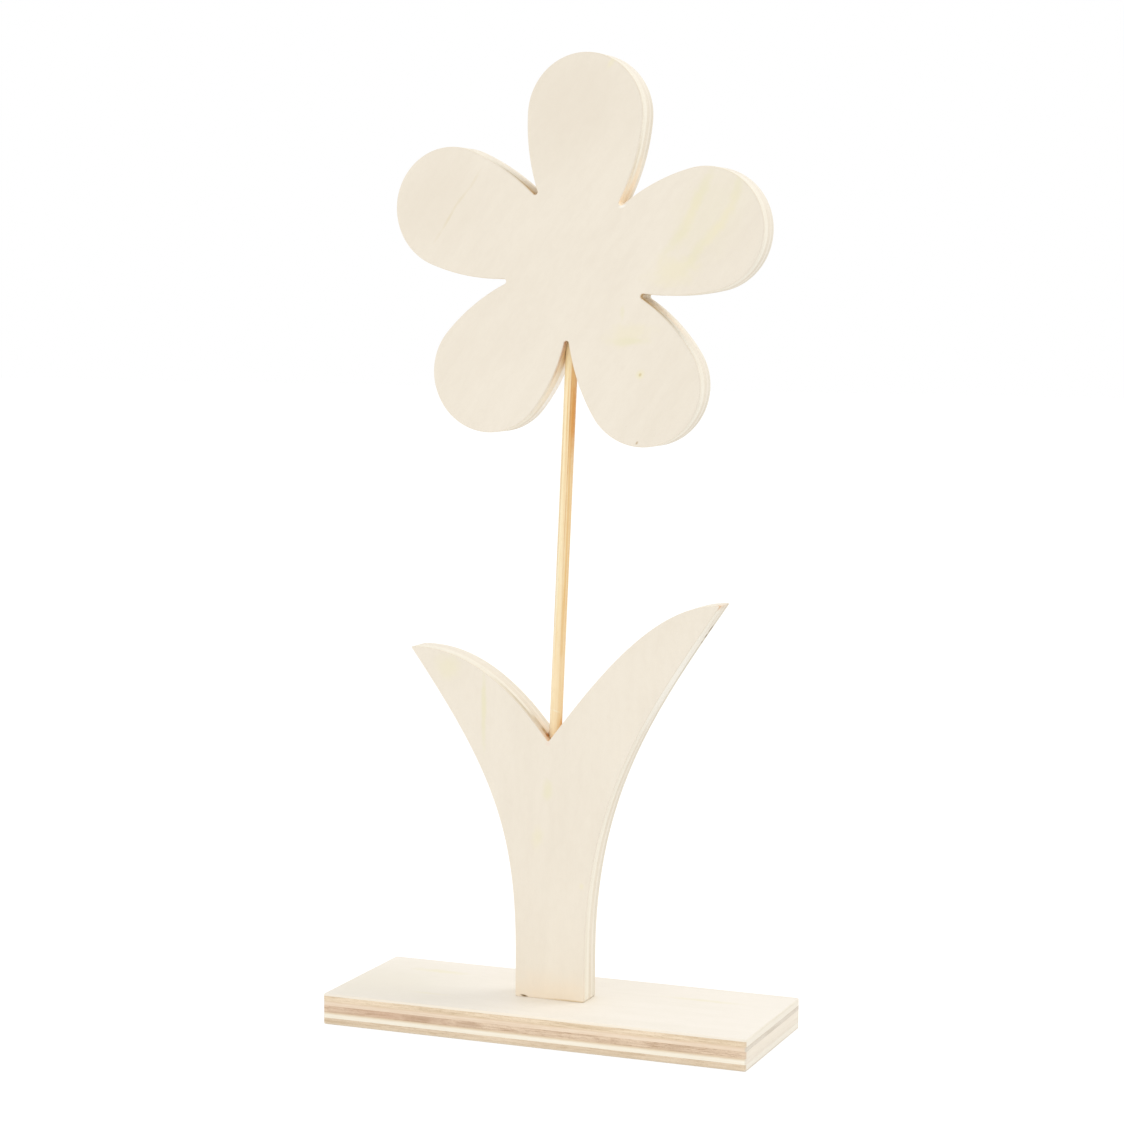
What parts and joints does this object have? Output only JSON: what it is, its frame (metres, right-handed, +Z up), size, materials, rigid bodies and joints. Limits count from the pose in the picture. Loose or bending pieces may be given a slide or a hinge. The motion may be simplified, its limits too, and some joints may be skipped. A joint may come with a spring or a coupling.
{
  "type": "wooden flower ornament",
  "caption": "Free-standing craft blank: a plywood flower on a round stick above a forked plywood leaf board and a rectangular plywood foot.",
  "frame": {"origin": "middle of the base board's underside, on the surface that the flower stands on", "axes": "+Z up along the stalk; the flower's front looks along -Y; +X is to the right in that view, along the base board"},
  "size_m": [0.143, 0.055, 0.3091],
  "materials": {
    "face_veneer": "sanded, uncoated",
    "crossband_veneer": "sawn edge, uncoated",
    "pinkish_veneer": "sawn edge, uncoated",
    "brown_veneer": "sawn edge, uncoated",
    "white_veneer": "sawn edge, uncoated",
    "stick_wood": "smooth, uncoated",
    "screw_steel": "yellow passivated zinc"
  },
  "bodies": {
    "root": {"base_white_face_veneer": "face_veneer", "base_white_crossband": "crossband_veneer", "base_white_inner_ply": "white_veneer", "base_core_ply": "brown_veneer", "base_pink_inner_ply": "pinkish_veneer", "base_pink_crossband": "crossband_veneer", "base_pink_face_veneer": "face_veneer", "leaf_pink_face_veneer": "face_veneer", "leaf_pink_crossband": "crossband_veneer", "leaf_pink_inner_ply": "pinkish_veneer", "leaf_core_ply": "brown_veneer", "leaf_white_inner_ply": "white_veneer", "leaf_white_crossband": "crossband_veneer", "leaf_white_face_veneer": "face_veneer", "flower_pink_face_veneer": "face_veneer", "flower_pink_crossband": "crossband_veneer", "flower_pink_inner_ply": "pinkish_veneer", "flower_core_ply": "brown_veneer", "flower_white_inner_ply": "white_veneer", "flower_white_crossband": "crossband_veneer", "flower_white_face_veneer": "face_veneer", "stem_stick": "stick_wood", "base_screw": "screw_steel"}
  },
  "joints": []
}
